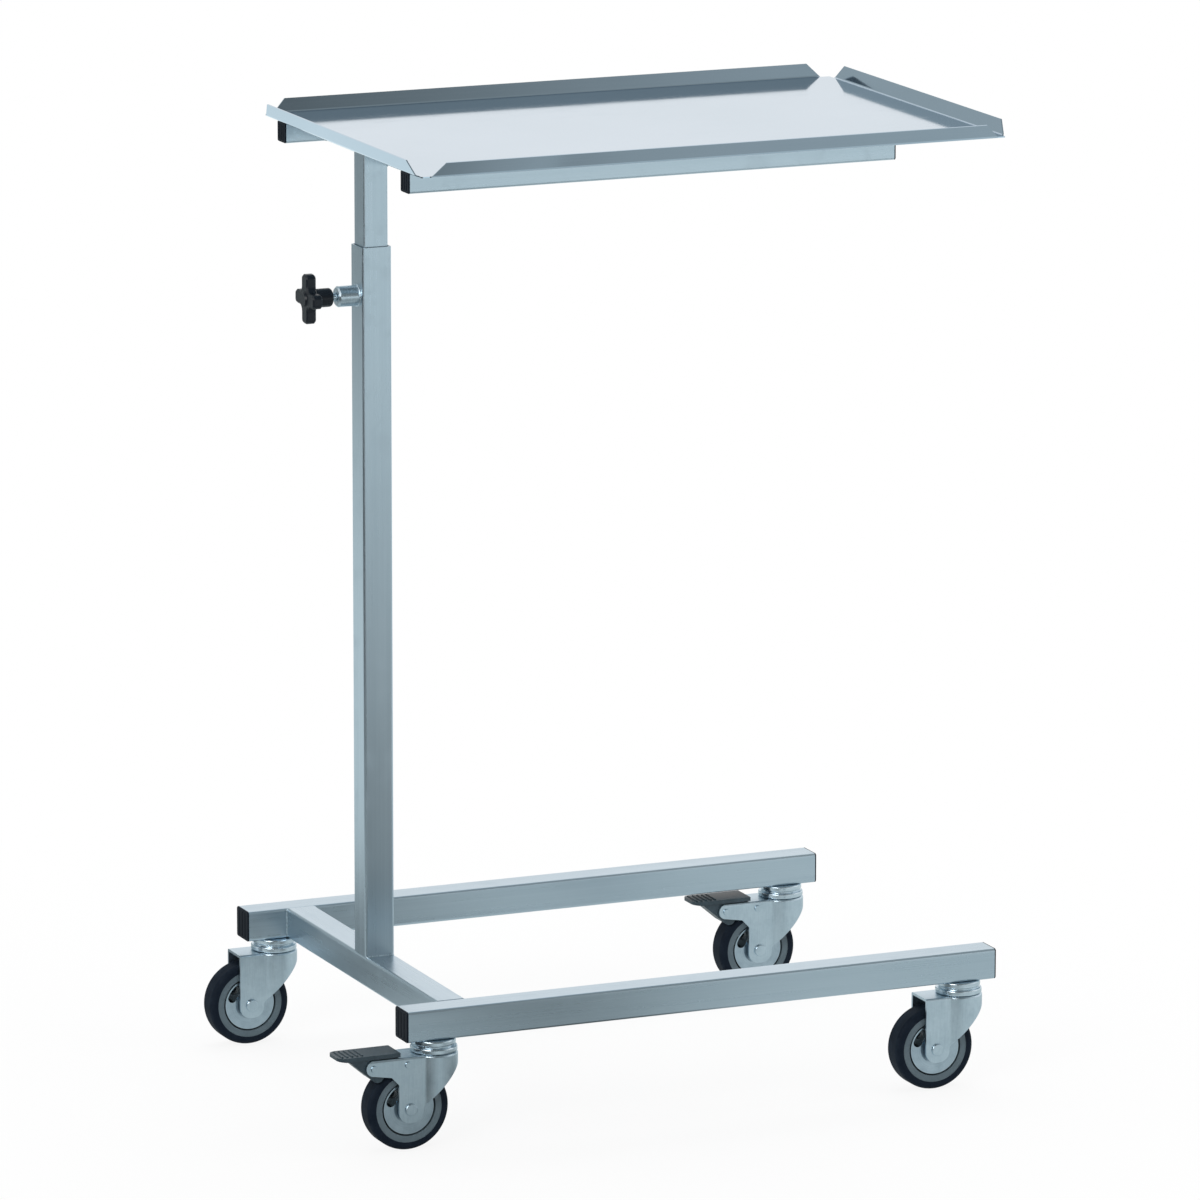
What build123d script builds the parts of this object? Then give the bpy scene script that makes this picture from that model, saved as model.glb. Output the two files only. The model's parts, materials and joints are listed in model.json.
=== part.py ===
from build123d import *
import os
from math import atan2, cos, hypot, radians, sin

os.makedirs("parts", exist_ok=True)

# A mayo instrument stand. X runs along the base's legs, away from the column, Y across them, and Z up.
# The origin is on the floor, under the middle of the stand's overall box. All sizes are in millimetres.

# Base: two long legs and the cross tube between them
base_tube = 30.0
base_wall = 1.5
base_corner = 2.5
leg_length = 615.0
base_span = 446.0
leg_underside = 105.0
cross_inset = 56.5

# Column, its guide liner, and the inner tube that slides in it
column_length = 693.0
liner_length = 34.0
liner_drop = 1.0
mast_tube_size = 25.0
mast_wall = 1.5
mast_corner = 2.0
mast_rise = 350.0
mast_overlap = 150.0
mast_exposed = 96.8
slide_clearance = 0.3
glide_height = 8.0
glide_plug = 20.0

# Clamp: boss, screw, pad and hand knob
clamp_drop = 47.5
boss_diameter = 20.0
boss_length = 21.0
boss_chamfer = 1.5
screw_countersink = 1.2
screw_diameter = 8.0
screw_pitch = 1.25
clamp_turns = 2.0
pad_diameter = 10.0
pad_length = 5.0
pad_gap = 0.3
pad_pin_diameter = 5.0
pad_pin_length = 3.0
knob_gap = 5.0
knob_hub_diameter = 18.0
knob_hub_length = 17.7
knob_span = 47.5
knob_thickness = 10.0
knob_lobe_width = 13.5
knob_lobes = 4
knob_edge = 1.5
knob_root_rounding = 6.0
knob_tip_rounding = 4.5
knob_hub_rounding = 3.0
knob_button_taper = 30.0
knob_socket = 20.0

# Tray and the two rails under it
tray_length = 600.0
tray_width = 400.0
tray_sheet = 1.2
tray_overhang = 29.5
flange_height = 13.0
flange_angle = 73.0
flange_bend = 2.0
corner_gap = 9.0
bevel_rounding = 9.0
tray_corner = 2.0
rail_tube = 20.0
rail_wall = 1.5
rail_corner = 2.0
rail_length = 500.0
rail_spacing = 315.0

# Black inserts in the ends of the legs and rails
cap_plate = 1.5
cap_depth = 14.0
cap_wall = 1.6
cap_fin = 1.0
fin_distances = 4.0, 11.0
cap_edge = 0.5
cap_grooves = 3
cap_groove_width = 1.4
cap_groove_depth = 0.5
cap_groove_margin = 2.5
cap_clearance = 0.15

# Castors
wheel_diameter = 82.0
tyre_width = 24.0
tyre_shoulder = 5.0
rim_diameter = 66.8
rim_width = 23.0
rim_recess_diameter = 54.2
rim_web = 6.0
hub_diameter = 22.0
rim_holes = 8
rim_hole_diameter = 9.5
guard_diameter = 50.8
guard_sheet = 1.0
guard_sink = 0.6
guard_collar_diameter = 18.0
window_radius = 19.5
window_start = 128.0
window_sweep = 30.0
window_height = 9.0
castor_inset = 33.0
trail = 30.0
fork_sheet = 2.5
fork_gap = 29.0
fork_neck_diameter = 46.0
fork_drop = 13.0
fork_foot = 13.0
fork_back = 12.0
foot_rounding = 11.0
skirt_rounding = 7.8
back_rounding = 2.5
plate_rounding = 2.0
neck_blend = 6.0
skirt_offset = 2.0
head_upper_diameter = 42.0
head_lower_diameter = 45.0
head_groove = 1.5
race_cone = 1.5
race_diameter = 34.0
race_slope = 45.0
stem_diameter = 10.0
stem_collar_diameter = 18.0
stem_collar_height = 2.8
nut_across_flats = 17.0
nut_height = 8.0
axle_sleeve_diameter = 12.0
axle_diameter = 8.0
axle_cap_diameter = 12.0
axle_cap_height = 2.2

# Brake pedals
pedal_reach = 72.0
pedal_inner = 10.0
pedal_width = 31.0
pedal_thickness = 4.0
pedal_seat = 1.0
pedal_side_gap = 0.5
pedal_corner = 8.0
lip_height = 3.0
grip_ribs = 5
rib_spacing = 5.0
rib_diameter = 2.0
rib_inset = 4.0
pedal_hinge_back = 37.5
pedal_hinge_drop = 7.5
brake_angle = 10.0
shoe_radius = 6.0
ear_radius = 7.5
ear_web = 11.0
ear_slope = 3.0
rivet_diameter = 4.0
rivet_head_diameter = 6.6
rivet_head_height = 1.4
rivet_head_taper = 20.0
rivet_back = 3.0
rivet_drop = 7.0

# Clearances
running_fit = 0.05
end_play = 0.3
loose_fit = 0.1

# Worked out from the sizes above: heights
base_top = leg_underside + base_tube
base_middle = leg_underside + base_tube / 2
column_top = base_top + column_length
tray_underside = column_top + mast_exposed
rail_middle = tray_underside - rail_tube / 2
mast_bottom = column_top - mast_rise - mast_overlap
clamp_height = column_top - clamp_drop
axle_height = wheel_diameter / 2

# The tray's flange: how far its top edge leans out past the floor's edge
bend_radius = flange_bend + tray_sheet / 2
flange_rise = flange_height + tray_sheet / 2
flange_straight = (flange_rise - bend_radius * (1 - cos(radians(flange_angle)))) / sin(radians(flange_angle))
flange_lean = bend_radius * sin(radians(flange_angle)) + flange_straight * cos(radians(flange_angle))
flange_overhang = flange_lean + tray_sheet / 2 * sin(radians(flange_angle))

# Places along X. The stand's box runs from the left pedal's tip to the tray or the legs' right ends.
reach_left = cross_inset - castor_inset + trail + pedal_reach
reach_right = max(tray_length - tray_overhang + flange_overhang, leg_length - cross_inset)
mast_x = (reach_left - reach_right) / 2
leg_left = mast_x - cross_inset
leg_right = leg_left + leg_length
tray_left = mast_x - tray_overhang
tray_middle_x = tray_left + tray_length / 2
column_face = mast_x - base_tube / 2
mast_face = mast_x - mast_tube_size / 2
leg_y = (base_span - base_tube) / 2
rail_y = rail_spacing / 2

# Castor heights and widths
fork_top = leg_underside - fork_drop
fork_width = fork_gap + 2 * fork_sheet
guard_outer = rim_width / 2 - guard_sink
guard_inner = guard_outer - guard_sheet
hub_half = guard_inner - end_play

# The brake pedal, placed from the wheel's axle: its hinge, and the shoe that meets the tyre when it is down
hinge_height = fork_top - pedal_hinge_drop
hinge_to_axle = hypot(pedal_hinge_back, hinge_height - axle_height)
shoe_reach = hinge_to_axle - wheel_diameter / 2 - end_play - shoe_radius
shoe_angle = atan2(axle_height - hinge_height, pedal_hinge_back) - radians(brake_angle)

# The clamp along X, from the inner tube's face outwards
clamp_travel = clamp_turns * screw_pitch
pad_rear = mast_face - pad_gap - pad_length
boss_end = column_face - boss_length
hub_end = boss_end - knob_gap
star_right = hub_end - knob_hub_length
star_left = star_right - knob_thickness


def save(piece, label):
    """Names a finished piece and writes it."""
    piece.part.label = label
    export_step(piece.part, f"parts/{label}.step")


def square_section(side, wall, corner):
    """Draws a hollow square section with rounded corners."""
    RectangleRounded(side, side, corner)
    RectangleRounded(side - 2 * wall, side - 2 * wall, corner - wall, mode=Mode.SUBTRACT)


# Base


def make_leg(y):
    """One long leg, with the holes for its two castor stems."""
    with BuildPart() as leg:
        with BuildSketch(Plane.YZ.offset(leg_left + cap_plate)):
            with Locations((y, base_middle)):
                square_section(base_tube, base_wall, base_corner)
        extrude(amount=leg_length - 2 * cap_plate)
        with BuildSketch(Plane.XY.offset(leg_underside)):
            with Locations((leg_left + castor_inset, y), (leg_right - castor_inset, y)):
                Circle(stem_diameter / 2 + loose_fit)
        extrude(amount=base_wall, mode=Mode.SUBTRACT)
    return leg


def make_end_cap(x, inward, y, z, side, wall, corner):
    """A plastic insert: a grooved plate as large as the tube's end, and a hollow plug with two fins."""
    plug = side - 2 * wall - 2 * cap_fin
    with BuildPart() as cap:
        with BuildSketch(Plane.YZ.offset(x)):
            with Locations((y, z)):
                RectangleRounded(side, side, corner)
        extrude(amount=inward * cap_plate)
        chamfer(cap.faces().sort_by(Axis.X)[0 if inward > 0 else -1].edges(), length=cap_edge)
        with BuildSketch(Plane.YZ.offset(x)):
            with Locations((y, z)):
                with GridLocations(side / (cap_grooves + 1), 0, cap_grooves, 1):
                    Rectangle(cap_groove_width, side - 2 * cap_groove_margin)
        extrude(amount=inward * cap_groove_depth, mode=Mode.SUBTRACT)
        with BuildSketch(Plane.YZ.offset(x + inward * cap_plate)):
            with Locations((y, z)):
                Rectangle(plug, plug)
                Rectangle(plug - 2 * cap_wall, plug - 2 * cap_wall, mode=Mode.SUBTRACT)
        extrude(amount=inward * cap_depth)
        fin = side - 2 * wall - 2 * cap_clearance
        for distance in fin_distances:
            with BuildSketch(Plane.YZ.offset(x + inward * (cap_plate + distance))):
                with Locations((y, z)):
                    RectangleRounded(fin, fin, corner - wall)
                    Rectangle(plug - cap_wall, plug - cap_wall, mode=Mode.SUBTRACT)
            extrude(amount=inward * cap_fin)
    return cap


for name, y in (("front", -leg_y), ("back", leg_y)):
    leg = make_leg(y)
    save(leg, f"base_leg_{name}")
    for end, x, inward in (("left", leg_left, 1), ("right", leg_right, -1)):
        cap = make_end_cap(x, inward, y, base_middle, base_tube, base_wall, base_corner)
        save(cap, f"leg_cap_{name}_{end}")

with BuildPart() as base_cross_tube:
    with BuildSketch(Plane.XZ):
        with Locations((mast_x, base_middle)):
            square_section(base_tube, base_wall, base_corner)
    extrude(amount=base_span / 2 - base_tube, both=True)
save(base_cross_tube, "base_cross_tube")

# Column and clamp

with BuildPart() as column_tube:
    with BuildSketch(Plane.XY.offset(base_top)):
        with Locations((mast_x, 0)):
            square_section(base_tube, base_wall, base_corner)
    extrude(amount=column_length)
    with BuildSketch(Plane.YZ.offset(column_face)):
        with Locations((0, clamp_height)):
            Circle(pad_diameter / 2 + slide_clearance)
    extrude(amount=base_wall, mode=Mode.SUBTRACT)
save(column_tube, "column_tube")

with BuildPart() as column_liner:
    with BuildSketch(Plane.XY.offset(column_top - liner_drop)):
        with Locations((mast_x, 0)):
            RectangleRounded(base_tube - 2 * base_wall, base_tube - 2 * base_wall, base_corner - base_wall)
            RectangleRounded(
                mast_tube_size + 2 * slide_clearance,
                mast_tube_size + 2 * slide_clearance,
                mast_corner,
                mode=Mode.SUBTRACT,
            )
    extrude(amount=-liner_length)
save(column_liner, "column_liner")

with BuildPart() as clamp_boss:
    with BuildSketch(Plane.YZ.offset(column_face)):
        with Locations((0, clamp_height)):
            Circle(boss_diameter / 2)
            Circle(screw_diameter / 2 + running_fit, mode=Mode.SUBTRACT)
    extrude(amount=-boss_length)
    rims = clamp_boss.faces().sort_by(Axis.X)[0].edges().sort_by(SortBy.RADIUS)
    chamfer(rims[-1], length=boss_chamfer)
    chamfer(rims[0], length=screw_countersink)
    with BuildSketch(Plane.YZ.offset(column_face)):
        with Locations((0, clamp_height)):
            Circle(pad_diameter / 2 + slide_clearance)
    extrude(amount=pad_rear - clamp_travel - end_play - column_face, mode=Mode.SUBTRACT)
save(clamp_boss, "clamp_boss")

with BuildPart() as clamp_pad:
    with BuildSketch(Plane.YZ.offset(pad_rear)):
        with Locations((0, clamp_height)):
            Circle(pad_diameter / 2)
    extrude(amount=pad_length)
    with BuildSketch(Plane.YZ.offset(pad_rear)):
        with Locations((0, clamp_height)):
            Circle(pad_pin_diameter / 2 + running_fit)
    extrude(amount=pad_pin_length + end_play, mode=Mode.SUBTRACT)
save(clamp_pad, "clamp_pad")

with BuildPart() as clamp_screw:
    with BuildSketch(Plane.YZ.offset(pad_rear - loose_fit)):
        with Locations((0, clamp_height)):
            Circle(screw_diameter / 2)
    extrude(amount=hub_end - knob_socket - (pad_rear - loose_fit))
    with BuildSketch(Plane.YZ.offset(pad_rear - loose_fit)):
        with Locations((0, clamp_height)):
            Circle(pad_pin_diameter / 2)
    extrude(amount=pad_pin_length + loose_fit)
save(clamp_screw, "clamp_screw")

with BuildPart() as clamp_knob:
    with BuildSketch(Plane.YZ.offset(star_left)) as star:
        with Locations((0, clamp_height)):
            with PolarLocations(knob_span / 4, knob_lobes):
                Rectangle(knob_span / 2, knob_lobe_width)
        corners = star.vertices().sort_by(lambda v: hypot(v.X, v.Y - clamp_height))
        fillet(corners[:knob_lobes], radius=knob_root_rounding)
        corners = star.vertices().sort_by(lambda v: hypot(v.X, v.Y - clamp_height))
        fillet(corners[-2 * knob_lobes:], radius=knob_tip_rounding)
    extrude(amount=knob_thickness)
    chamfer(clamp_knob.faces().sort_by(Axis.X)[0].edges(), length=knob_edge)
    chamfer(clamp_knob.faces().sort_by(Axis.X)[-1].edges(), length=knob_edge)
    with BuildSketch(Plane.YZ.offset(star_right)):
        with Locations((0, clamp_height)):
            Circle(knob_hub_diameter / 2)
    extrude(amount=knob_hub_length)
    fillet(clamp_knob.faces().sort_by(Axis.X)[-1].edges(), radius=knob_hub_rounding)
    with BuildSketch(Plane.YZ.offset(star_left)):
        with Locations((0, clamp_height)):
            Circle(knob_hub_diameter / 2 - knob_edge)
    extrude(amount=-knob_edge, taper=knob_button_taper)
    with BuildSketch(Plane.YZ.offset(hub_end)):
        with Locations((0, clamp_height)):
            Circle(screw_diameter / 2 + running_fit)
    extrude(amount=-knob_socket, mode=Mode.SUBTRACT)
save(clamp_knob, "clamp_knob")

# Mast and tray

with BuildPart() as mast_tube:
    with BuildSketch(Plane.XY.offset(mast_bottom)):
        with Locations((mast_x, 0)):
            square_section(mast_tube_size, mast_wall, mast_corner)
    extrude(amount=tray_underside - mast_bottom)
save(mast_tube, "mast_tube")

with BuildPart() as mast_glide:
    glide_side = base_tube - 2 * base_wall - 2 * slide_clearance
    plug_side = mast_tube_size - 2 * mast_wall - 2 * cap_clearance
    with BuildSketch(Plane.XY.offset(mast_bottom)):
        with Locations((mast_x, 0)):
            RectangleRounded(glide_side, glide_side, base_corner - base_wall)
    extrude(amount=-glide_height)
    chamfer(mast_glide.faces().sort_by(Axis.Z)[0].edges(), length=slide_clearance * 2)
    with BuildSketch(Plane.XY.offset(mast_bottom)):
        with Locations((mast_x, 0)):
            Rectangle(plug_side, plug_side)
            Rectangle(plug_side - 2 * cap_wall, plug_side - 2 * cap_wall, mode=Mode.SUBTRACT)
    extrude(amount=glide_plug)
save(mast_glide, "mast_glide")

with BuildPart() as tray_cross_tube:
    with BuildSketch(Plane.XZ):
        with Locations((mast_x + (mast_tube_size + rail_tube) / 2, rail_middle)):
            square_section(rail_tube, rail_wall, rail_corner)
    extrude(amount=(rail_spacing - rail_tube) / 2, both=True)
save(tray_cross_tube, "tray_cross_tube")

for name, y in (("front", -rail_y), ("back", rail_y)):
    with BuildPart() as rail:
        with BuildSketch(Plane.YZ.offset(tray_left + cap_plate)):
            with Locations((y, rail_middle)):
                square_section(rail_tube, rail_wall, rail_corner)
        extrude(amount=rail_length - 2 * cap_plate)
    save(rail, f"rail_{name}")
    for end, x, inward in (("left", tray_left, 1), ("right", tray_left + rail_length, -1)):
        cap = make_end_cap(x, inward, y, rail_middle, rail_tube, rail_wall, rail_corner)
        save(cap, f"rail_cap_{name}_{end}")


def make_flange(edge_length):
    """A flange along X: a bend, a straight leaning wall, and its ends cut back at 45 degrees."""
    foot = edge_length - 2 * corner_gap
    with BuildPart() as flange:
        with BuildSketch(Plane.YZ):
            with BuildLine():
                bend = CenterArc((0, tray_sheet / 2 + bend_radius), bend_radius, -90, flange_angle)
                Line(bend @ 1, (bend @ 1) + (bend % 1) * flange_straight)
            trace(line_width=tray_sheet)
        extrude(amount=edge_length / 2, both=True)
        with BuildSketch(Plane.XZ) as face:
            with Locations((0, flange_rise)):
                Trapezoid(foot + tray_sheet, 2 * flange_rise, 45)
            fillet(face.vertices().sort_by(Axis.Y)[-2:], radius=bevel_rounding)
        extrude(amount=2 * flange_rise, both=True, mode=Mode.INTERSECT)
    return flange.part


with BuildPart() as tray:
    with BuildSketch(Plane.XY.offset(tray_underside)):
        with Locations((tray_middle_x, 0)):
            RectangleRounded(tray_length, tray_width, tray_corner)
    extrude(amount=tray_sheet)
    long_flange = make_flange(tray_length)
    short_flange = make_flange(tray_width)
    for flange, out_x, out_y, turn in (
        (long_flange, 0, 1, 0),
        (long_flange, 0, -1, 180),
        (short_flange, -1, 0, 90),
        (short_flange, 1, 0, -90),
    ):
        x = tray_middle_x + out_x * tray_length / 2
        y = out_y * tray_width / 2
        with Locations(Location((x, y, tray_underside), (0, 0, turn))):
            add(flange)
save(tray, "tray")

# Castors


def make_stem(x, y):
    """The bolt that hangs the castor, with a collar under the fork and a nut inside the leg."""
    with BuildPart() as stem:
        with BuildSketch(Plane.XY.offset(fork_top - fork_sheet - end_play)):
            with Locations((x, y)):
                Circle(stem_collar_diameter / 2)
        extrude(amount=-stem_collar_height)
        with BuildSketch(Plane.XY.offset(fork_top - fork_sheet - end_play)):
            with Locations((x, y)):
                Circle(stem_diameter / 2)
        extrude(amount=leg_underside + base_wall + nut_height + end_play - (fork_top - fork_sheet - end_play))
        with BuildSketch(Plane.XY.offset(leg_underside + base_wall)):
            with Locations((x, y)):
                RegularPolygon(nut_across_flats / 2, 6, major_radius=False)
                Circle(stem_diameter / 2 + loose_fit, mode=Mode.SUBTRACT)
        extrude(amount=nut_height)
    return stem


def make_head(x, y):
    """The fixed ring of the swivel race, hollow underneath to clear the fork's raised cone."""
    bottom = fork_top + end_play
    groove_low = (bottom + leg_underside) / 2 - head_groove / 2
    groove_high = groove_low + head_groove
    groove_radius = head_upper_diameter / 2 - head_groove
    bore = stem_diameter / 2 + loose_fit
    with BuildPart() as head:
        with BuildSketch(Plane(origin=(x, y, 0), x_dir=(1, 0, 0), z_dir=(0, -1, 0))) as section:
            with BuildLine():
                Polyline(
                    (bore, leg_underside),
                    (head_upper_diameter / 2, leg_underside),
                    (head_upper_diameter / 2, groove_high),
                    (groove_radius, groove_high),
                    (groove_radius, groove_low),
                    (head_lower_diameter / 2, groove_low),
                    (head_lower_diameter / 2, bottom),
                    (race_diameter / 2 + end_play, bottom),
                    (race_diameter / 2 + end_play, bottom + race_cone),
                    (bore, bottom + race_cone),
                    close=True,
                )
            make_face()
            fillet(section.vertices().sort_by(Axis.X)[-4:], radius=head_groove)
        revolve(axis=Axis((x, y, 0), (0, 0, 1)))
    return head


def make_fork(x, y, braked):
    """The pressed fork: a round neck that runs into two flat cheeks, with ears for the pedal if braked."""
    axle_x = x - trail
    low = axle_height - fork_foot
    back = axle_x - (pedal_hinge_back + ear_radius if braked else fork_back)
    side_plane = Plane.XZ.offset(-y)
    with BuildPart() as fork:
        with BuildSketch(Plane.XY.offset(low)) as plan:
            with Locations((x, y)):
                Circle(fork_neck_diameter / 2)
            with Locations(((back + x) / 2, y)):
                Rectangle(x - back, fork_width)
            fillet(plan.vertices().sort_by(Axis.X)[2:4], radius=neck_blend)
        extrude(amount=fork_top - low)
        fillet(fork.faces().sort_by(Axis.Z)[-1].edges().sort_by(Axis.X)[1:], radius=plate_rounding)
        with BuildSketch(side_plane):
            front = x + fork_neck_diameter / 2
            slope_start = axle_height + skirt_offset
            outline = [
                (axle_x - fork_back, fork_top),
                (axle_x - fork_back, low),
                (axle_x + fork_foot, low),
                (axle_x + fork_foot, slope_start),
                (front, slope_start + front - axle_x - fork_foot),
                (front, fork_top),
            ]
            with BuildLine():
                roundings = [0, foot_rounding, foot_rounding, skirt_rounding, back_rounding, 0]
                FilletPolyline(*outline, radius=roundings, close=True)
            make_face()
            if braked:
                with BuildLine():
                    edge = axle_x - fork_back
                    hinge = (axle_x - pedal_hinge_back, hinge_height)
                    root = hinge_height - ear_radius - ear_web
                    Polyline(
                        (hinge[0], hinge[1] + ear_radius),
                        (axle_x, fork_top),
                        (axle_x, root),
                        (edge, root),
                        (edge - ear_radius, hinge_height - ear_radius - ear_slope),
                        (hinge[0], hinge[1] - ear_radius),
                        close=True,
                    )
                make_face()
                with Locations(hinge):
                    Circle(ear_radius)
        extrude(amount=fork_neck_diameter, both=True, mode=Mode.INTERSECT)
        with BuildSketch(Plane.XY.offset(low)):
            with Locations((x, y)):
                Circle(fork_neck_diameter / 2 - fork_sheet)
            with Locations(((back + x) / 2, y)):
                Rectangle(x - back, fork_gap)
        extrude(amount=fork_top - fork_sheet - low, mode=Mode.SUBTRACT)
        if braked:
            with BuildSketch(Plane.XY.offset(low)):
                with Locations(((back + axle_x - fork_back) / 2, y)):
                    Rectangle(axle_x - fork_back - back, fork_gap)
            extrude(amount=fork_top - low, mode=Mode.SUBTRACT)
        with BuildSketch(Plane.XY.offset(fork_top)):
            with Locations((x, y)):
                Circle(race_diameter / 2)
        extrude(amount=race_cone, taper=race_slope)
        with BuildSketch(Plane.XY.offset(fork_top - fork_sheet)):
            with Locations((x, y)):
                Circle(stem_diameter / 2 + running_fit)
        extrude(amount=fork_sheet + race_cone, mode=Mode.SUBTRACT)
        with BuildSketch(side_plane):
            with Locations((axle_x, axle_height)):
                Circle(axle_diameter / 2 + loose_fit)
            if braked:
                with Locations(*rivet_places(axle_x)):
                    Circle(rivet_diameter / 2 + running_fit)
        extrude(amount=fork_width, both=True, mode=Mode.SUBTRACT)
    return fork


def rivet_places(axle_x):
    """Where the pedal's hinge rivet and the second rivet cross the fork, in X and Z."""
    return (axle_x - pedal_hinge_back, hinge_height), (axle_x - rivet_back, fork_top - rivet_drop)


def make_axle(axle_x, y):
    """The axle: a sleeve between the cheeks, its ends through them, and a round cap on each end."""
    with BuildPart() as axle:
        for diameter, half in (
            (axle_sleeve_diameter, fork_gap / 2),
            (axle_diameter, fork_width / 2),
        ):
            with BuildSketch(Plane.XZ.offset(-y)):
                with Locations((axle_x, axle_height)):
                    Circle(diameter / 2)
            extrude(amount=half, both=True)
        for out in (-1, 1):
            with BuildSketch(Plane.XZ.offset(-y + out * fork_width / 2)):
                with Locations((axle_x, axle_height)):
                    Circle(axle_cap_diameter / 2)
            extrude(amount=out * axle_cap_height)
        ends = [axle.faces().sort_by(Axis.Y)[0].edges(), axle.faces().sort_by(Axis.Y)[-1].edges()]
        fillet(ends, radius=axle_cap_height / 2)
    return axle


def make_guards(axle_x, y):
    """Two thin discs that keep thread out of the hub, each with a collar to the cheek and one window."""
    window_line = CenterArc((0, 0), window_radius, window_start, window_sweep)
    with BuildPart() as guards:
        with BuildSketch(Plane.XZ.offset(-y + guard_inner)):
            with Locations((axle_x, axle_height)):
                Circle(guard_diameter / 2)
                Circle(axle_sleeve_diameter / 2 + running_fit, mode=Mode.SUBTRACT)
                SlotArc(window_line, window_height, mode=Mode.SUBTRACT)
        extrude(amount=guard_sheet)
        with BuildSketch(Plane.XZ.offset(-y + guard_outer)):
            with Locations((axle_x, axle_height)):
                Circle(guard_collar_diameter / 2)
                Circle(axle_sleeve_diameter / 2 + running_fit, mode=Mode.SUBTRACT)
        extrude(amount=fork_gap / 2 - guard_outer)
        mirror(about=Plane.XZ.offset(-y))
    return guards


def wheel_section(axle_x, y):
    """The plane of a wheel's half section: along the axle, and outwards from it."""
    return Plane(origin=(axle_x, y, axle_height), x_dir=(0, 1, 0), z_dir=(1, 0, 0))


def make_rim(axle_x, y):
    """The wheel's plastic core: hub, thin web with round holes, and the recessed outer ring."""
    bore = axle_sleeve_diameter / 2 + running_fit
    with BuildPart() as rim:
        with BuildSketch(wheel_section(axle_x, y)):
            for width, inner, outer in (
                (2 * hub_half, bore, hub_diameter / 2),
                (rim_web, hub_diameter / 2, rim_recess_diameter / 2),
                (rim_width, rim_recess_diameter / 2, rim_diameter / 2),
            ):
                with Locations((0, (inner + outer) / 2)):
                    Rectangle(width, outer - inner)
        revolve(axis=Axis((axle_x, y, axle_height), (0, 1, 0)))
        with BuildSketch(Plane.XZ.offset(-y)):
            with Locations((axle_x, axle_height)):
                with PolarLocations((rim_recess_diameter + hub_diameter) / 4, rim_holes):
                    Circle(rim_hole_diameter / 2)
        extrude(amount=rim_web, both=True, mode=Mode.SUBTRACT)
    return rim


def make_tyre(axle_x, y):
    """The tyre: a band with rounded shoulders."""
    band = (wheel_diameter - rim_diameter) / 2
    with BuildPart() as tyre:
        with BuildSketch(wheel_section(axle_x, y)) as section:
            with Locations((0, rim_diameter / 2 + band / 2)):
                Rectangle(tyre_width, band)
            fillet(section.vertices().sort_by(Axis.Y)[-2:], radius=tyre_shoulder)
        revolve(axis=Axis((axle_x, y, axle_height), (0, 1, 0)))
    return tyre


def make_pedal(axle_x, y):
    """The brake pedal: a foot plate over the fork, and a body down to its hinge and its shoe."""
    side_plane = Plane.XZ.offset(-y)
    inner = axle_x - pedal_inner
    tip = axle_x - pedal_reach
    seat = fork_top + pedal_seat
    hinge = (axle_x - pedal_hinge_back, hinge_height)
    shoe = (hinge[0] + shoe_reach * cos(shoe_angle), hinge[1] + shoe_reach * sin(shoe_angle))
    body_right = axle_x - fork_back - pedal_seat
    body_left = tip + pedal_corner
    with BuildPart() as pedal:
        with BuildSketch() as plan:
            with Locations(((inner + tip) / 2, y)):
                Rectangle(inner - tip, pedal_width)
            fillet(plan.vertices().sort_by(Axis.X)[:2], radius=pedal_corner)
        extrude(amount=leg_underside)
        with BuildSketch(side_plane):
            with BuildLine():
                Polyline(
                    (inner, seat),
                    (inner, seat + pedal_thickness),
                    (tip, seat + pedal_thickness),
                    (tip, seat + pedal_thickness - lip_height),
                    (body_left, seat),
                    close=True,
                )
            make_face()
        extrude(amount=pedal_width, both=True, mode=Mode.INTERSECT)
        with BuildSketch(side_plane):
            with Locations(*[(tip + (n + 1) * rib_spacing, seat + pedal_thickness) for n in range(grip_ribs)]):
                Circle(rib_diameter / 2)
        extrude(amount=pedal_width / 2 - rib_inset, both=True)
        with BuildSketch(side_plane):
            with BuildLine():
                Line((body_left, seat + pedal_thickness / 2), (body_right, seat + pedal_thickness / 2))
                CenterArc(hinge, ear_radius, 0, 360)
                CenterArc(shoe, shoe_radius, 0, 360)
            make_hull()
        extrude(amount=fork_gap / 2 - pedal_side_gap, both=True)
        with BuildSketch(side_plane):
            with Locations(hinge):
                Circle(rivet_diameter / 2 + running_fit)
        extrude(amount=fork_gap, both=True, mode=Mode.SUBTRACT)
    return pedal


def make_pins(axle_x, y):
    """The pedal's hinge rivet and the second rivet, each with a round head outside both cheeks."""
    with BuildPart() as pins:
        with BuildSketch(Plane.XZ.offset(-y)):
            with Locations(*rivet_places(axle_x)):
                Circle(rivet_diameter / 2)
        extrude(amount=fork_width / 2, both=True)
        for out in (-1, 1):
            with BuildSketch(Plane.XZ.offset(-y + out * fork_width / 2)):
                with Locations(*rivet_places(axle_x)):
                    Circle(rivet_head_diameter / 2)
            extrude(amount=out * rivet_head_height, taper=rivet_head_taper)
    return pins


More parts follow.
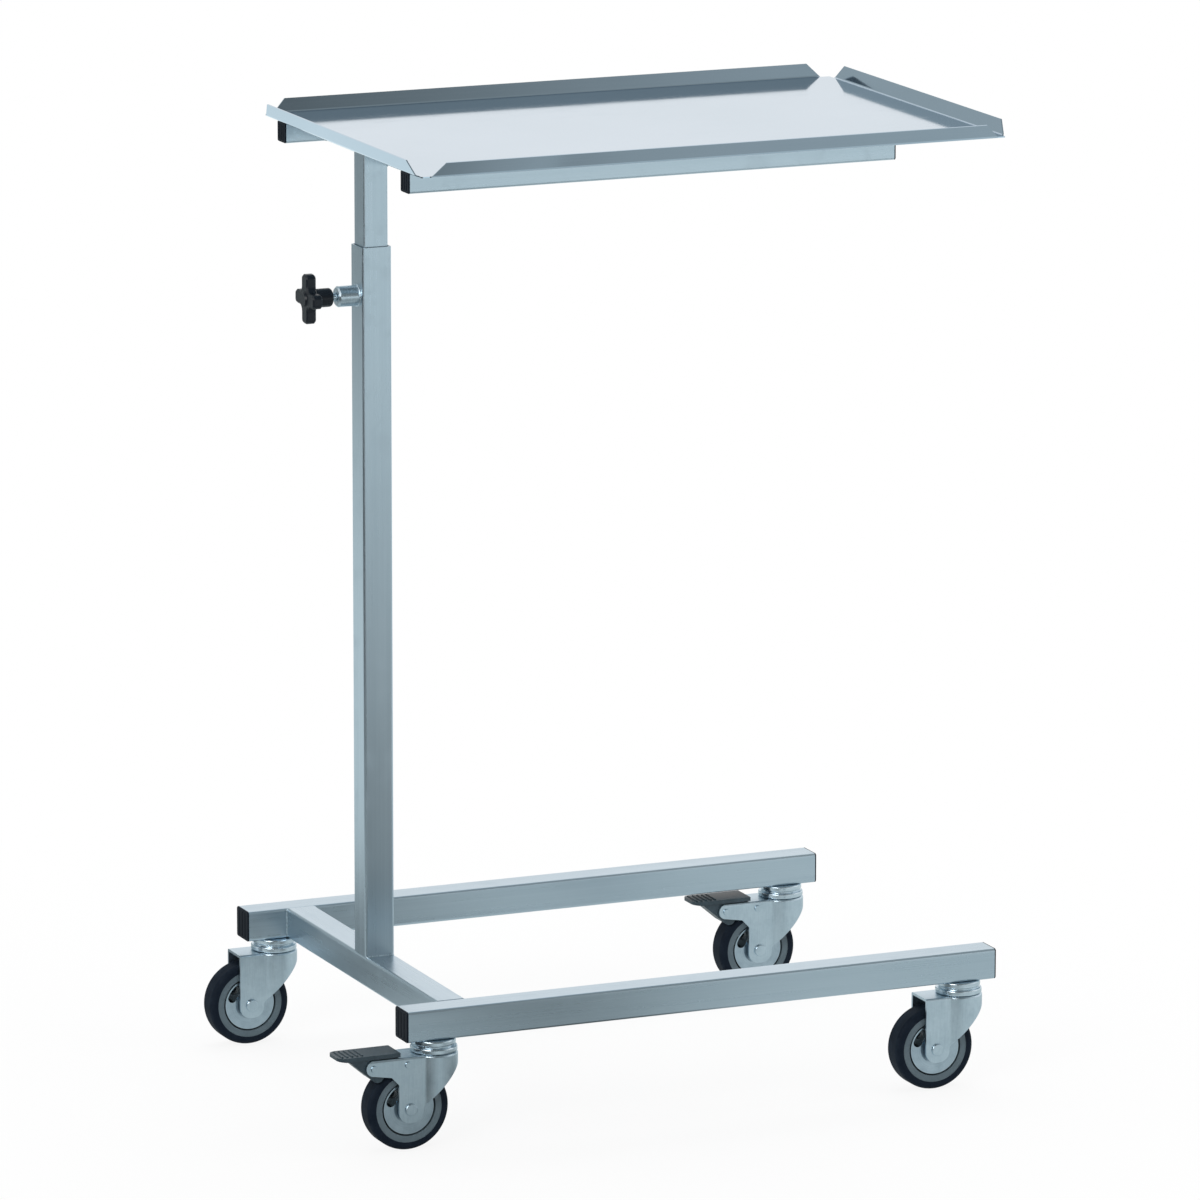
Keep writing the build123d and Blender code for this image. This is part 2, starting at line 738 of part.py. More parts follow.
for name, x, y, braked in (
    ("front_left", leg_left + castor_inset, -leg_y, True),
    ("front_right", leg_right - castor_inset, -leg_y, False),
    ("back_left", leg_left + castor_inset, leg_y, False),
    ("back_right", leg_right - castor_inset, leg_y, True),
):
    axle_x = x - trail
    stem = make_stem(x, y)
    save(stem, f"stem_{name}")
    head = make_head(x, y)
    save(head, f"head_{name}")
    fork = make_fork(x, y, braked)
    save(fork, f"fork_{name}")
    axle = make_axle(axle_x, y)
    save(axle, f"axle_{name}")
    guards = make_guards(axle_x, y)
    save(guards, f"guards_{name}")
    rim = make_rim(axle_x, y)
    save(rim, f"rim_{name}")
    tyre = make_tyre(axle_x, y)
    save(tyre, f"tyre_{name}")
    if braked:
        pedal = make_pedal(axle_x, y)
        save(pedal, f"pedal_{name}")
        pins = make_pins(axle_x, y)
        save(pins, f"pins_{name}")
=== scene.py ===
import json
import math

import bmesh
import bpy
from mathutils import Matrix, Vector, noise


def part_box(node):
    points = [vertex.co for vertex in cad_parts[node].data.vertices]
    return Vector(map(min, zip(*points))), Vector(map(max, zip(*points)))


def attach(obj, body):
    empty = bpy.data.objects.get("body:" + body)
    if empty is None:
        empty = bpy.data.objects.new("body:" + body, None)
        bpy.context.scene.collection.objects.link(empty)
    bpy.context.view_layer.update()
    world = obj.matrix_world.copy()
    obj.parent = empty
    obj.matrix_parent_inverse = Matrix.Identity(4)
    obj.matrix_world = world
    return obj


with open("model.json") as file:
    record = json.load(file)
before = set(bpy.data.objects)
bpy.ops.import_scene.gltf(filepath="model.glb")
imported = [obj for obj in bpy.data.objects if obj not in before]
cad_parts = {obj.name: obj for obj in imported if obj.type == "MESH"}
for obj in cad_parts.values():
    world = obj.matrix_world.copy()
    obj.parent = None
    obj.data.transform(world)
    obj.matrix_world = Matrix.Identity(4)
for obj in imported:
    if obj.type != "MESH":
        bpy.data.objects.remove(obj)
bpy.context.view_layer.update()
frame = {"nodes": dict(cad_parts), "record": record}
parts = frame["nodes"]
slotOfPart = {entry["node"]: entry["material_slot"] for entry in frame["record"]["subparts"]}
castorNames = ["front_left", "front_right", "back_left", "back_right"]
print("parts loaded:", len(parts))


class Wire:  # a shader socket that can stand in a sum
    def __init__(self, graph, socket):
        self.graph = graph
        self.socket = socket

    def maths(self, operation, *values):
        return self.graph.add("ShaderNodeMath", {"operation": operation}, dict(enumerate(values)))

    def __add__(self, other):
        return self.maths("ADD", self, other)

    def __radd__(self, other):
        return self.maths("ADD", other, self)

    def __sub__(self, other):
        return self.maths("SUBTRACT", self, other)

    def __rsub__(self, other):
        return self.maths("SUBTRACT", other, self)

    def __mul__(self, other):
        return self.maths("MULTIPLY", self, other)

    def __rmul__(self, other):
        return self.maths("MULTIPLY", other, self)

    def __pow__(self, other):
        return self.maths("POWER", self, other)

    def __rpow__(self, other):
        return self.maths("POWER", other, self)

    def __neg__(self):
        return self.maths("MULTIPLY", self, -1.0)

    def __abs__(self):
        return self.maths("ABSOLUTE", self)

    def sine(self):
        return self.maths("SINE", self)

    def larger(self, other):
        return self.maths("MAXIMUM", self, other)

    def between(self, low, high):  # 0 at low, 1 at high, clipped
        values = {"Value": self, "From Min": low, "From Max": high}
        return self.graph.add("ShaderNodeMapRange", {"clamp": True}, values)


def distance(first, second):  # from the origin of two axes
    return (first ** 2.0 + second ** 2.0) ** 0.5


def mixed(shares, wires):  # the sum of the wires, each times its share
    scaled = [wire * share for share, wire in zip(shares, wires, strict=True)]
    return sum(scaled[1:], scaled[0])


class Graph:  # the nodes of one material or of the world
    def __init__(self, owner):
        owner.use_nodes = True
        self.tree = owner.node_tree
        self.tree.nodes.clear()

    def add(self, kind, settings=None, values=None, out=0):
        node = self.tree.nodes.new(kind)
        for name, setting in (settings or {}).items():
            setattr(node, name, setting)
        for name, value in (values or {}).items():
            target = node.inputs[name]
            if isinstance(value, Wire):
                self.tree.links.new(value.socket, target)
            elif isinstance(value, tuple) and len(value) == 3 and len(target.default_value) == 4:
                target.default_value = (*value, 1.0)
            else:
                target.default_value = value
        return Wire(self, node.outputs[out]) if len(node.outputs) else None

    def place(self):  # where a point lies in the stand's own frame, in metres
        return self.add("ShaderNodeTexCoord", out="Object")

    def axes(self, point, names="XYZ"):
        return [self.add("ShaderNodeSeparateXYZ", values={"Vector": point}, out=name) for name in names]

    def grain(self, point, scale, detail, roughness=0.5):  # scale: steps per metre, or three of them
        if isinstance(scale, tuple):
            point = self.add("ShaderNodeVectorMath", {"operation": "MULTIPLY"}, {0: point, 1: scale})
            scale = 1.0
        values = {"Vector": point, "Scale": scale, "Detail": detail, "Roughness": roughness}
        return self.add("ShaderNodeTexNoise", {"noise_dimensions": "3D"}, values)

    def blendColour(self, share, first, second):
        return self.add("ShaderNodeMix", {"data_type": "RGBA"}, {0: share, 6: first, 7: second}, out=2)

    def bump(self, height, strength, depth):
        values = {"Height": height, "Strength": strength, "Distance": depth}
        return self.add("ShaderNodeBump", values=values)

    def surface(self, values):
        shader = self.add("ShaderNodeBsdfPrincipled", values=values)
        self.add("ShaderNodeOutputMaterial", values={"Surface": shader})

    def metal(self, look, toneWires, roughWires, height):
        tone = mixed(look["toneShares"], toneWires).between(*look["toneRange"])
        self.surface({
            "Base Color": self.blendColour(tone, look["dark"], look["light"]),
            "Metallic": 1.0,
            "Roughness": look["roughness"] + mixed(look["roughShares"], roughWires),
            "Normal": self.bump(height, *look["bump"]),
        })


def newFinish(name):
    material = bpy.data.materials.new(name)
    return material, Graph(material)


# Finishes. Sizes are in metres. A noise layer is its steps per metre, its detail and, where it isn't 0.5,
# its roughness. A range is where a value starts and ends rising. A bump is its strength and its depth.

brushed = {
    "light": (0.550, 0.655, 0.730),
    "dark": (0.460, 0.565, 0.640),
    "roughness": 0.21,
    "bands": (1.6, 260.0, 2.0),  # steps along the tube, steps across it, detail
    "hairs": (7.0, 1500.0, 2.0),
    "clouds": (4.0, 26.0, 3.0),
    "smudges": (46.0, 4.0, 0.6),
    "smudgeRange": (0.52, 0.74),
    "toneShares": (0.40, 0.28, 0.62),  # bands, hairs, clouds
    "toneRange": (0.42, 0.86),
    "roughShares": (0.10, 0.06, 0.06),  # hairs, clouds, smudges
    "heightShares": (0.3, 0.7),  # bands, hairs
    "bump": (0.16, 0.000012),
}


def makeBrushedTube(name, tubeAxis):
    material, graph = newFinish(name)
    point = graph.place()
    layers = []
    for along, across, detail in (brushed["bands"], brushed["hairs"], brushed["clouds"]):
        scale = tuple(along if axis == tubeAxis else across for axis in "XYZ")
        layers.append(graph.grain(point, scale, detail))
    bands, hairs, clouds = layers
    smudges = graph.grain(point, *brushed["smudges"]).between(*brushed["smudgeRange"])
    height = mixed(brushed["heightShares"], [bands, hairs])
    graph.metal(brushed, [bands, hairs, clouds], [hairs, clouds, smudges], height)
    return material


polished = {
    "light": (0.500, 0.600, 0.700),
    "dark": (0.455, 0.560, 0.655),
    "roughness": 0.06,
    "rolled": ((6.0, 900.0, 900.0), 2.0),
    "clouds": (5.0, 3.0),
    "wipes": ((18.0, 52.0, 52.0), 5.0, 0.65),
    "wipeRange": (0.50, 0.78),
    "toneShares": (0.3, 0.7),  # rolled, clouds
    "toneRange": (0.32, 0.68),
    "roughShares": (0.04, 0.05),  # rolled, wipes
    "bump": (0.10, 0.00001),
}


def makeTraySheet(name):
    material, graph = newFinish(name)
    point = graph.place()
    rolled = graph.grain(point, *polished["rolled"])
    clouds = graph.grain(point, *polished["clouds"])
    wipes = graph.grain(point, *polished["wipes"]).between(*polished["wipeRange"])
    graph.metal(polished, [rolled, clouds], [rolled, wipes], rolled)
    return material


zinc = {
    "light": (0.640, 0.755, 0.825),
    "dark": (0.420, 0.525, 0.600),
    "roughness": 0.22,
    "flakes": 420.0,
    "clouds": (70.0, 4.0, 0.6),
    "drawn": ((900.0, 900.0, 60.0), 3.0),
    "toneShares": (0.55, 0.10, 0.35),  # clouds, flakes, drawn
    "toneRange": (0.22, 0.80),
    "roughShares": (0.16, 0.04),  # clouds, flakes
    "heightShares": (0.5, 0.5),  # drawn, clouds
    "bump": (0.22, 0.00006),
}


def makeZincPlate(name):
    material, graph = newFinish(name)
    point = graph.place()
    cellValues = {"Vector": point, "Scale": zinc["flakes"]}
    cells = graph.add("ShaderNodeTexVoronoi", {"feature": "F1"}, cellValues, out="Color")
    flakes = graph.add("ShaderNodeRGBToBW", values={"Color": cells})
    clouds = graph.grain(point, *zinc["clouds"])
    drawn = graph.grain(point, *zinc["drawn"])
    height = mixed(zinc["heightShares"], [drawn, clouds])
    graph.metal(zinc, [clouds, flakes, drawn], [clouds, flakes], height)
    return material


headPlate = {
    "light": (0.680, 0.780, 0.850),
    "dark": (0.520, 0.625, 0.695),
    "roughness": 0.13,
    "lines": ((25.0, 25.0, 2400.0), 2.0),
    "clouds": (110.0, 4.0, 0.6),
    "toneShares": (0.7, 0.3),  # clouds, lines
    "toneRange": (0.30, 0.68),
    "roughShares": (0.10, 0.05),  # clouds, lines
    "bump": (0.20, 0.00003),
}


def makeSwivelHead(name):  # bright plate over the lathe's lines round the ring
    material, graph = newFinish(name)
    point = graph.place()
    lines = graph.grain(point, *headPlate["lines"])
    clouds = graph.grain(point, *headPlate["clouds"])
    graph.metal(headPlate, [clouds, lines], [clouds, lines], lines)
    return material


guardPlate = {
    "light": (0.560, 0.670, 0.745),
    "dark": (0.320, 0.405, 0.470),
    "roughness": 0.25,
    "spun": {"Scale": 1400.0, "Detail": 2.0},
    "clouds": (85.0, 4.0, 0.6),
    "ridgeStart": (0.0135, 0.0150),  # distances from the axle
    "ridgeEnd": (0.0155, 0.0170),
    "toneShares": (0.65, 0.35),  # clouds, spun
    "toneRange": (0.28, 0.74),
    "roughShares": (0.12,),  # clouds
    "heightShares": (0.08, 1.0),  # spun, ridge
    "bump": (0.35, 0.0004),
}


def makeGuardDisc(name, wheelCentre):  # rings pressed and spun round the axle
    material, graph = newFinish(name)
    point = graph.place()
    x, z = graph.axes(point, "XZ")
    outwards = distance(x - wheelCentre.x, z - wheelCentre.z)
    spun = graph.add("ShaderNodeTexNoise", {"noise_dimensions": "1D"}, {"W": outwards, **guardPlate["spun"]})
    clouds = graph.grain(point, *guardPlate["clouds"])
    ridge = outwards.between(*guardPlate["ridgeStart"]) - outwards.between(*guardPlate["ridgeEnd"])
    height = mixed(guardPlate["heightShares"], [spun, ridge])
    graph.metal(guardPlate, [clouds, spun], [clouds], height)
    return material


turned = {
    "light": (0.640, 0.750, 0.820),
    "dark": (0.450, 0.555, 0.625),
    "roughness": 0.22,
    "rings": ((2600.0, 30.0, 30.0), 2.0),
    "clouds": (120.0, 3.0),
    "toneShares": (0.5, 0.5),  # rings, clouds
    "toneRange": (0.3, 0.7),
    "roughShares": (0.14,),  # rings
    "bump": (0.4, 0.00003),
}


def makeTurnedSteel(name):
    material, graph = newFinish(name)
    point = graph.place()
    rings = graph.grain(point, *turned["rings"])
    clouds = graph.grain(point, *turned["clouds"])
    graph.metal(turned, [rings, clouds], [rings], rings)
    return material


plastics = {
    "black_plastic": {
        "colour": (0.003, 0.006, 0.012),
        "worn": (0.012, 0.020, 0.032),
        "roughness": 0.46,
        "gloss": 0.10,
        "grain": 1500.0,
    },
    "knob_plastic": {
        "colour": (0.003, 0.006, 0.011),
        "worn": (0.014, 0.020, 0.028),
        "roughness": 0.33,
        "gloss": 0.34,
        "grain": 1900.0,
    },
    "pedal_plastic": {
        "colour": (0.018, 0.035, 0.047),
        "worn": (0.064, 0.104, 0.132),
        "roughness": 0.38,
        "gloss": 0.50,
        "grain": 1300.0,
    },
    "rim_plastic": {
        "colour": (0.084, 0.120, 0.142),
        "worn": (0.150, 0.196, 0.222),
        "roughness": 0.42,
        "gloss": 0.40,
        "grain": 1300.0,
    },
    "pad_plastic": {
        "colour": (0.400, 0.385, 0.330),
        "worn": (0.520, 0.505, 0.450),
        "roughness": 0.50,
        "gloss": 0.50,
        "grain": 1500.0,
    },
}
plasticWear = {
    "grainDetail": 2.0,
    "clouds": (60.0, 4.0, 0.6),
    "scuffs": ((260.0, 90.0, 160.0), 5.0, 0.7),
    "scuffRange": (0.60, 0.80),
    "toneShares": (0.35, 0.35),  # clouds, scuffs
    "toneRange": (0.12, 0.62),
    "roughShares": (0.08, 0.12),  # clouds, scuffs
    "bump": (0.22, 0.00012),
}


def makePlastic(name, look):
    material, graph = newFinish(name)
    point = graph.place()
    grain = graph.grain(point, look["grain"], plasticWear["grainDetail"])
    clouds = graph.grain(point, *plasticWear["clouds"])
    scuffs = graph.grain(point, *plasticWear["scuffs"]).between(*plasticWear["scuffRange"])
    tone = mixed(plasticWear["toneShares"], [clouds, scuffs]).between(*plasticWear["toneRange"])
    graph.surface({
        "Base Color": graph.blendColour(tone, look["colour"], look["worn"]),
        "Specular IOR Level": look["gloss"],
        "Roughness": look["roughness"] + mixed(plasticWear["roughShares"], [clouds, scuffs]),
        "Normal": graph.bump(grain, *plasticWear["bump"]),
    })
    return material


rubber = {
    "colour": (0.004, 0.009, 0.018),
    "dusty": (0.018, 0.028, 0.042),
    "roughness": 0.58,
    "gloss": 0.11,
    "ringTurn": 5200.0,  # radians of the rings' wave per metre
    "mouldLine": 0.0006,  # half its width
    "treadRange": (0.0390, 0.0408),  # distances from the axle
    "grain": (700.0, 4.0, 0.6),
    "dust": (95.0, 5.0, 0.65),
    "dustRange": (0.42, 0.75),
    "sideDust": 0.25,
    "treadDust": 0.6,  # on top of the side's
    "roughShares": (0.2, 0.06),  # dust, grain
    "heightShares": (0.22, 0.5, 0.8),  # rings, grain, mould line
    "bump": (0.5, 0.00025),
}


def makeTyre(name, wheelCentre):  # rings round the axle, and dust towards the tread
    material, graph = newFinish(name)
    point = graph.place()
    x, y, z = graph.axes(point)
    outwards = distance(x - wheelCentre.x, z - wheelCentre.z)
    tread = outwards.between(*rubber["treadRange"])
    rings = ((outwards * rubber["ringTurn"]).sine() * 0.5 + 0.5) * (1.0 - tread)
    mouldLine = (1.0 - abs(y - wheelCentre.y).between(0.0, rubber["mouldLine"])) * tread
    grain = graph.grain(point, *rubber["grain"])
    dust = graph.grain(point, *rubber["dust"]).between(*rubber["dustRange"])
    dust = dust * (tread * rubber["treadDust"] + rubber["sideDust"])
    height = mixed(rubber["heightShares"], [rings, grain, mouldLine])
    graph.surface({
        "Base Color": graph.blendColour(dust, rubber["colour"], rubber["dusty"]),
        "Specular IOR Level": rubber["gloss"],
        "Roughness": rubber["roughness"] + mixed(rubber["roughShares"], [dust, grain]),
        "Normal": graph.bump(height, *rubber["bump"]),
    })
    return material


finishes = {
    "brushed_x": makeBrushedTube("brushedAlongX", "X"),
    "brushed_y": makeBrushedTube("brushedAlongY", "Y"),
    "brushed_z": makeBrushedTube("brushedAlongZ", "Z"),
    "tray_steel": makeTraySheet("trayPolish"),
    "zinc_steel": makeZincPlate("zincPlate"),
    "turned_steel": makeTurnedSteel("turnedSteel"),
    "head": makeSwivelHead("headPlate"),
}
for slotName, look in plastics.items():
    finishes[slotName] = makePlastic(slotName.replace("_p", "P"), look)
for castor in castorNames:
    low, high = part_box("tyre_" + castor)
    wheelCentre = (Vector(low) + Vector(high)) / 2
    finishes["tyre_" + castor] = makeTyre("tyreRubber_" + castor, wheelCentre)
    finishes["guards_" + castor] = makeGuardDisc("guardPlate_" + castor, wheelCentre)
print("finishes made:", len(finishes))


def finishFor(part):
    slotName = slotOfPart[part]
    if part.startswith(("tyre_", "guards_")):
        return finishes[part]
    if part.startswith("head_"):
        return finishes["head"]
    if slotName == "brushed_tube":
        if part in ("column_tube", "mast_tube"):
            return finishes["brushed_z"]
        return finishes["brushed_y" if "cross" in part else "brushed_x"]
    return finishes[slotName]


for part, thing in parts.items():
    thing.data.materials.clear()
    thing.data.materials.append(finishFor(part))

# Weld beads

weld = {
    "radius": 0.0011,
    "step": 0.0012,
    "sides": 10,
    "ripple": 0.12,
    "rippleTurn": 1.9,  # radians from one step to the next
    "uneven": 0.25,
    "unevenScale": 160.0,
    "bossPoints": 48,
}


def stepsAlong(corners, closed):  # points about a step apart on the path of the corners
    points = []
    count = len(corners)
    for place in range(count if closed else count - 1):
        start = corners[place]
        end = corners[(place + 1) % count]
        steps = max(2, round((end - start).length / weld["step"]))
        points += [start.lerp(end, step / steps) for step in range(steps)]
    if not closed:
        points.append(corners[-1])
    return points


def beadAlong(name, body, corners, closed=True):
    points = stepsAlong(corners, closed)
    total = len(points)
    sides = weld["sides"]
    mesh = bmesh.new()
    rings = []
    for place, point in enumerate(points):
        before = points[place - 1] if closed or place else point
        after = points[(place + 1) % total] if closed or place < total - 1 else point
        along = (after - before).normalized()
        side = along.orthogonal().normalized()
        up = along.cross(side)
        ripple = weld["ripple"] * math.sin(place * weld["rippleTurn"])
        swell = 1.0 + ripple + weld["uneven"] * noise.noise(point * weld["unevenScale"])
        ring = []
        for corner in range(sides):
            turn = 2 * math.pi * corner / sides
            offset = side * math.cos(turn) + up * math.sin(turn)
            ring.append(mesh.verts.new(point + offset * weld["radius"] * swell))
        rings.append(ring)
    for place in range(total if closed else total - 1):
        first = rings[place]
        second = rings[(place + 1) % total]
        # a ring can be turned against the one before it, so faces start from its nearest corner
        shift = min(range(sides), key=lambda corner: (first[0].co - second[corner].co).length)
        for corner in range(sides):
            following = (corner + 1) % sides
            mesh.faces.new((
                first[corner],
                first[following],
                second[(following + shift) % sides],
                second[(corner + shift) % sides],
            ))
    if not closed:
        mesh.faces.new(list(reversed(rings[0])))
        mesh.faces.new(rings[-1])
    bmesh.ops.recalc_face_normals(mesh, faces=mesh.faces)
    data = bpy.data.meshes.new(name)
    mesh.to_mesh(data)
    mesh.free()
    for face in data.polygons:
        face.use_smooth = True
    piece = bpy.data.objects.new(name, data)
    bpy.context.scene.collection.objects.link(piece)
    data.materials.append(finishes["turned_steel"])
    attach(piece, body)


def middleAndHalf(part):
    low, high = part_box(part)
    low, high = Vector(low), Vector(high)
    return (low + high) / 2, (high - low) / 2


def pointOn(box, x, y, z):  # each from -1 to 1 across the box
    middle, half = box
    return Vector((middle.x + x * half.x, middle.y + y * half.y, middle.z + z * half.z))


columnBox = middleAndHalf("column_tube")
crossBox = middleAndHalf("base_cross_tube")
trayCrossBox = middleAndHalf("tray_cross_tube")
bossMiddle, bossHalf = middleAndHalf("clamp_boss")
mastMiddle, mastHalf = middleAndHalf("mast_tube")

footCorners = ((-0.9, -1), (0.9, -1), (0.9, 1), (-0.9, 1))
beadAlong("weldColumnFoot", "base", [pointOn(columnBox, x, y, -1) for x, y in footCorners])
endCorners = ((-1, -0.9), (-1, 0.9), (1, 0.9), (1, -0.9))
for name, side in (("Front", -1), ("Back", 1)):
    beadAlong("weldCrossTube" + name, "base", [pointOn(crossBox, x, side, z) for x, z in endCorners])
bossRing = [
    Vector((
        bossMiddle.x + bossHalf.x,
        bossMiddle.y + bossHalf.y * math.cos(place * 2 * math.pi / weld["bossPoints"]),
        bossMiddle.z + bossHalf.y * math.sin(place * 2 * math.pi / weld["bossPoints"]),
    ))
    for place in range(weld["bossPoints"])
]
beadAlong("weldBoss", "base", bossRing)
underCorners = ((-1, 0.7), (-1, -0.9), (1, -0.9), (1, 0.7))
for name, side in (("Front", -1), ("Back", 1)):
    under = [pointOn(trayCrossBox, x, side, z) for x, z in underCorners]
    beadAlong("weldTrayCross" + name, "mast", under, closed=False)
trayCrossEdge = pointOn(trayCrossBox, -1, 0, -1)
mastUnder = [
    Vector((trayCrossEdge.x, mastMiddle.y + y * mastHalf.y, trayCrossEdge.z))
    for y in (-0.8, 0.8)
]
beadAlong("weldMast", "mast", mastUnder, closed=False)
print("weld beads made")

# Studio

studio = {
    "floor": (0.80, 0.80, 0.80),
    "floorHeight": -0.0005,
    "halfFloor": 30.0,
    "floorGrain": (30.0, 3.0),
    "floorRoughness": 0.7,
    "grainRoughness": 0.1,
    "whiteRange": (0.35, 1.1),  # distances from the stand's middle
    "whiteNear": 0.88,  # how much of the floor is seen as white beside the stand
    "whiteFurther": 0.12,  # and how much more in the distance
    "worldLight": 0.55,
    "worldLow": (0.80, 0.82, 0.84),
    "worldRange": (0.2, 0.9),
    "white": (1.0, 1.0, 1.0),
    "cardColour": (0.90, 0.99, 1.0),
    "lampAim": (0.0, 0.0, 0.5),
    "lamps": {
        "lampLeft": {"at": (-3.0, -2.3, 2.1), "size": 1.8, "power": 60.0, "mirrored": True},
        "lampTop": {"at": (0.4, 0.8, 3.2), "size": 2.6, "power": 62.0, "mirrored": False},
        "lampRight": {"at": (2.8, -1.4, 1.8), "size": 1.8, "power": 26.0, "mirrored": False},
    },
}


def addPlane(name, corners):
    mesh = bmesh.new()
    mesh.faces.new([mesh.verts.new(corner) for corner in corners])
    data = bpy.data.meshes.new(name)
    mesh.to_mesh(data)
    mesh.free()
    plane = bpy.data.objects.new(name, data)
    bpy.context.scene.collection.objects.link(plane)
    return plane


def backgroundShare(graph):  # 1 for the rays that see the background white: all but the diffuse ones
    camera, glossy, transmission = [
        graph.add("ShaderNodeLightPath", out=ray)
        for ray in ("Is Camera Ray", "Is Glossy Ray", "Is Transmission Ray")
    ]
    return camera.larger(glossy).larger(transmission)


def makeFloor():
    half = studio["halfFloor"]
    corners = [(x * half, y * half, studio["floorHeight"]) for x, y in ((-1, -1), (1, -1), (1, 1), (-1, 1))]
    floor = addPlane("studioFloor", corners)
    material, graph = newFinish("paleFloor")
    point = graph.place()
    x, y = graph.axes(point, "XY")
    grain = graph.grain(point, *studio["floorGrain"])
    painted = graph.add("ShaderNodeBsdfPrincipled", values={
        "Base Color": studio["floor"],
        "Roughness": studio["floorRoughness"] + grain * studio["grainRoughness"],
    })
    white = graph.add("ShaderNodeEmission", values={"Color": studio["white"], "Strength": 1.0})
    away = distance(x, y).between(*studio["whiteRange"])
    share = backgroundShare(graph) * (away * studio["whiteFurther"] + studio["whiteNear"])
    seen = graph.add("ShaderNodeMixShader", values={0: share, 1: painted, 2: white})
    graph.add("ShaderNodeOutputMaterial", values={"Surface": seen})
    floor.data.materials.append(material)


def makeWorld():
    world = bpy.data.worlds.new("studioWorld")
    bpy.context.scene.world = world
    graph = Graph(world)
    [z] = graph.axes(graph.add("ShaderNodeTexCoord", out="Generated"), "Z")
    upwards = (z * 0.5 + 0.5).between(*studio["worldRange"])
    colour = graph.blendColour(upwards, studio["worldLow"], studio["white"])
    soft = graph.add("ShaderNodeBackground", values={"Color": colour, "Strength": studio["worldLight"]})
    white = graph.add("ShaderNodeBackground", values={"Color": studio["white"], "Strength": 1.0})
    seen = graph.add("ShaderNodeMixShader", values={0: backgroundShare(graph), 1: soft, 2: white})
    graph.add("ShaderNodeOutputWorld", values={"Surface": seen})


# Grey cards and dark flags round the stand, which only reflections see: glowing planes whose greys are
# painted reflections of light and shade on the metal

paintedReflectionLevel = 0.66
paintedReflectionSlopes = [  # painted reflection levels: direction, where the change starts and ends, and how much it adds
    ("back", 0.3, 2.0, 0.40),
    ("left", 0.70, 1.8, -0.52),
    ("right", 0.45, 0.9, 0.10),
    ("front", 0.75, 1.1, -0.22),
    ("front", 1.3, 1.9, -0.08),
    ("front", 2.2, 3.6, 0.60),
]
paintedDarkReflections = [  # painted dark reflections: centre, scale, inner and outer radius, depth
    ((0.03, -0.95), (2.4, 0.6), 0.05, 0.40, 0.52),
    ((0.10, -0.76), (1.0, 1.0), 0.05, 0.25, 0.20),
    ((0.22, -1.15), (1.0, 1.0), 0.05, 0.30, 0.19),
    ((-0.06, -0.25), (1.0, 1.0), 0.08, 0.24, 0.52),
    ((-0.54, -0.33), (1.0, 1.0), 0.12, 0.34, 0.58),
    ((-0.47, 0.56), (1.6, 0.75), 0.12, 0.34, 0.50),
]


# the floor card's glow, a painted reflection for the metal, with painted shade in the dark patches
def paintedFloorReflection(x, y, z):
    towards = {"right": x, "left": -x, "back": y, "front": -y}
    level = paintedReflectionLevel
    for direction, start, end, change in paintedReflectionSlopes:
        level = level + towards[direction].between(start, end) * change
    for centre, scale, inner, outer, depth in paintedDarkReflections:
        away = distance((x - centre[0]) * scale[0], (y - centre[1]) * scale[1])
        level = level - (1.0 - away.between(inner, outer)) * depth
    return level


# each card's grey is a painted reflection, lighter or darker where the metal should mirror light or shade
cards = {
    "cardFloor": {
        "corners": [(-9.0, -9.0, 0.0), (9.0, -9.0, 0.0), (9.0, 9.0, 0.0), (-9.0, 9.0, 0.0)],
        "grey": paintedFloorReflection,
    },
    "cardFront": {
        "corners": [(-2.0, -3.2, 0.9), (6.0, -3.2, 0.9), (6.0, -3.2, 5.0), (-2.0, -3.2, 5.0)],
        "grey": lambda x, y, z: x.between(1.1, 2.0) * 0.33 + 0.15,
    },
    "cardLow": {
        "corners": [(-1.1, -0.95, 0.0), (0.32, -0.95, 0.0), (0.32, -0.95, 0.26), (-1.1, -0.95, 0.26)],
        "grey": lambda x, y, z: x.between(-0.55, -0.30) * 0.12 + x.between(0.08, 0.30) * 0.36 + 0.03,
    },
    "cardBackLeft": {
        "corners": [(-5.0, 3.5, 0.0), (0.2, 3.5, 0.0), (0.2, 3.5, 5.0), (-5.0, 3.5, 5.0)],
        "grey": lambda x, y, z: z.between(0.2, 1.0) * 0.22 + 0.29,
    },
    "flagLeft": {
        "corners": [(-2.2, -2.6, 0.0), (-2.2, 0.7, 0.0), (-2.2, 0.7, 0.9), (-2.2, -2.6, 0.9)],
        "grey": lambda x, y, z: z * 0.01 + 0.05,
    },
    "flagTop": {
        "corners": [(-2.5, -3.0, 3.6), (3.0, -3.0, 3.6), (3.0, 1.2, 3.6), (-2.5, 1.2, 3.6)],
        "grey": lambda x, y, z: x.between(-0.5, 1.6) * 0.20 + 0.16,
    },
}


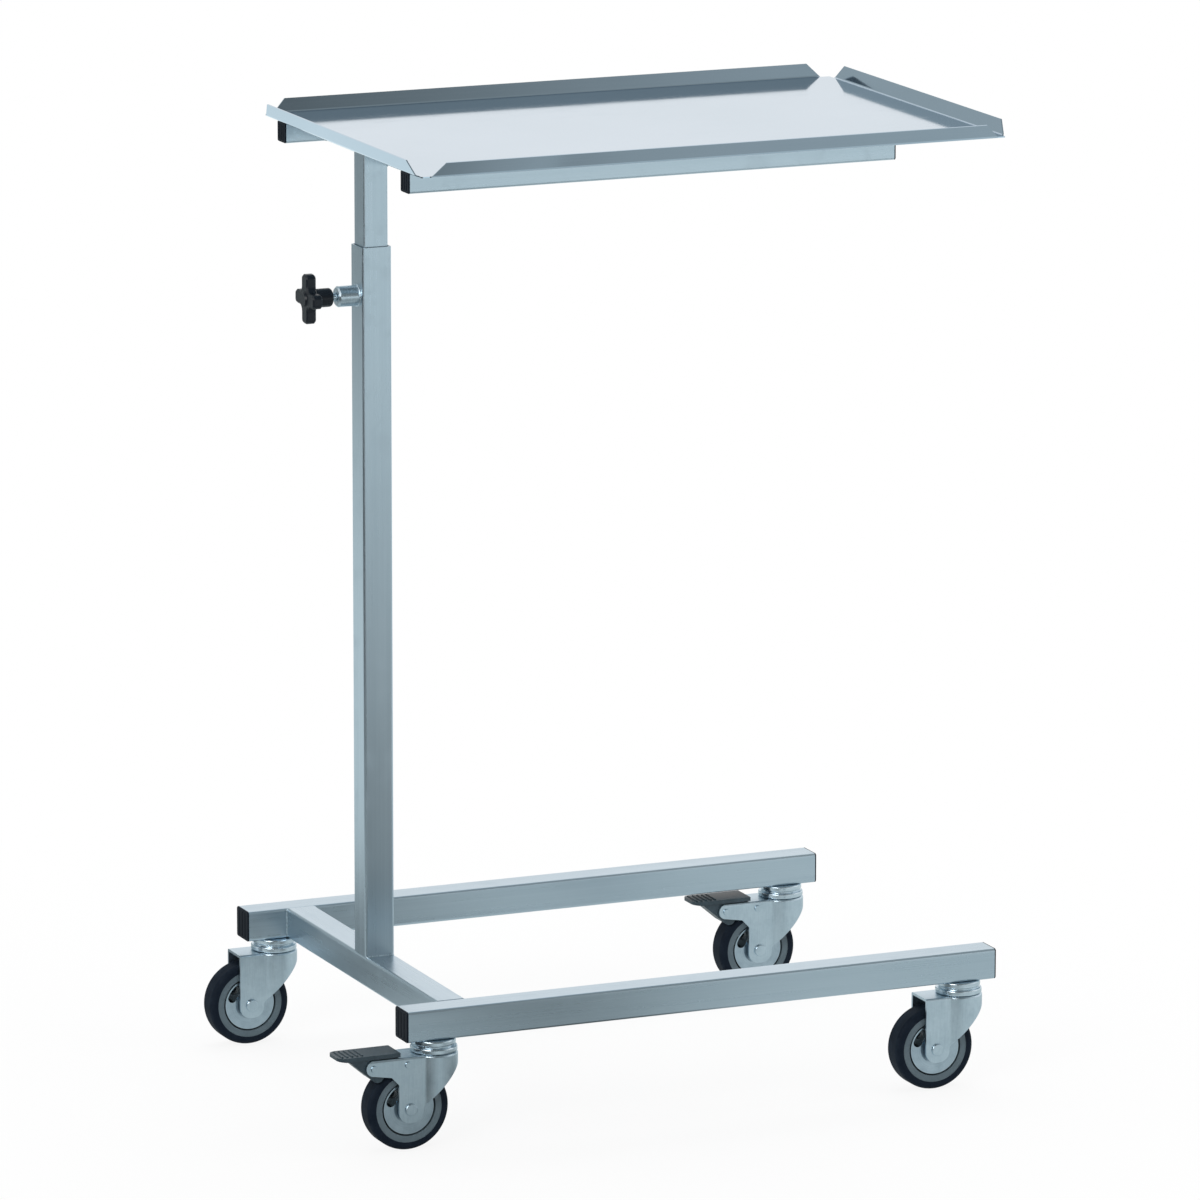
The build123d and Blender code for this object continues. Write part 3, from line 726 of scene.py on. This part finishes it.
def makeCard(name, card):
    plane = addPlane(name, card["corners"])
    plane.visible_camera = False
    plane.visible_diffuse = False
    plane.visible_shadow = False
    plane.visible_transmission = False
    material, graph = newFinish(name)
    # the card glows with its grey: a painted reflection, not a lamp
    grey = card["grey"](*graph.axes(graph.place()))
    paint = graph.add("ShaderNodeEmission", values={"Color": studio["cardColour"], "Strength": grey})
    graph.add("ShaderNodeOutputMaterial", values={"Surface": paint})
    plane.data.materials.append(material)


def makeLamp(name, facts):
    data = bpy.data.lights.new(name, "AREA")
    data.shape = "SQUARE"
    data.size = facts["size"]
    data.energy = facts["power"]
    lamp = bpy.data.objects.new(name, data)
    lamp.location = facts["at"]
    lamp.rotation_euler = (Vector(studio["lampAim"]) - lamp.location).to_track_quat("-Z", "Y").to_euler()
    lamp.visible_glossy = facts["mirrored"]
    bpy.context.scene.collection.objects.link(lamp)


makeFloor()
makeWorld()
for cardName, card in cards.items():
    makeCard(cardName, card)
for lampName, facts in studio["lamps"].items():
    makeLamp(lampName, facts)
print("studio made")

# Camera, placed from the legs' left ends

view = {
    "azimuth": -23.345,
    "elevation": 12.281,
    "roll": 0.058,
    "lens": 266.1,
    "sensor": 36.0,
    "distance": 8.570,
    "reach": 60.0,
    "aim": (0.300, 0.0, 0.551),
    "sideways": -0.006039,
    "upwards": -0.086622,
}


def makeCamera():
    azimuth = math.radians(view["azimuth"])
    elevation = math.radians(view["elevation"])
    outwards = Vector((
        math.sin(azimuth) * math.cos(elevation),
        -math.cos(azimuth) * math.cos(elevation),
        math.sin(elevation),
    ))
    right = Vector((math.cos(azimuth), math.sin(azimuth), 0.0))
    up = outwards.cross(right)
    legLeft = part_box("leg_cap_front_left")[0][0]
    aim = Vector(view["aim"]) + Vector((legLeft, 0.0, 0.0))
    data = bpy.data.cameras.new("photoCamera")
    data.sensor_width = view["sensor"]
    data.lens = view["lens"]
    data.clip_end = view["reach"]
    camera = bpy.data.objects.new("photoCamera", data)
    upright = Matrix((right, up, outwards)).transposed()
    rolled = upright @ Matrix.Rotation(math.radians(view["roll"]), 3, "Z")
    camera.matrix_world = rolled.to_4x4()
    camera.location = aim + right * view["sideways"] + up * view["upwards"] + outwards * view["distance"]
    bpy.context.scene.collection.objects.link(camera)
    bpy.context.scene.camera = camera


makeCamera()
bpy.context.scene.view_settings.view_transform = "Standard"
print("camera made")
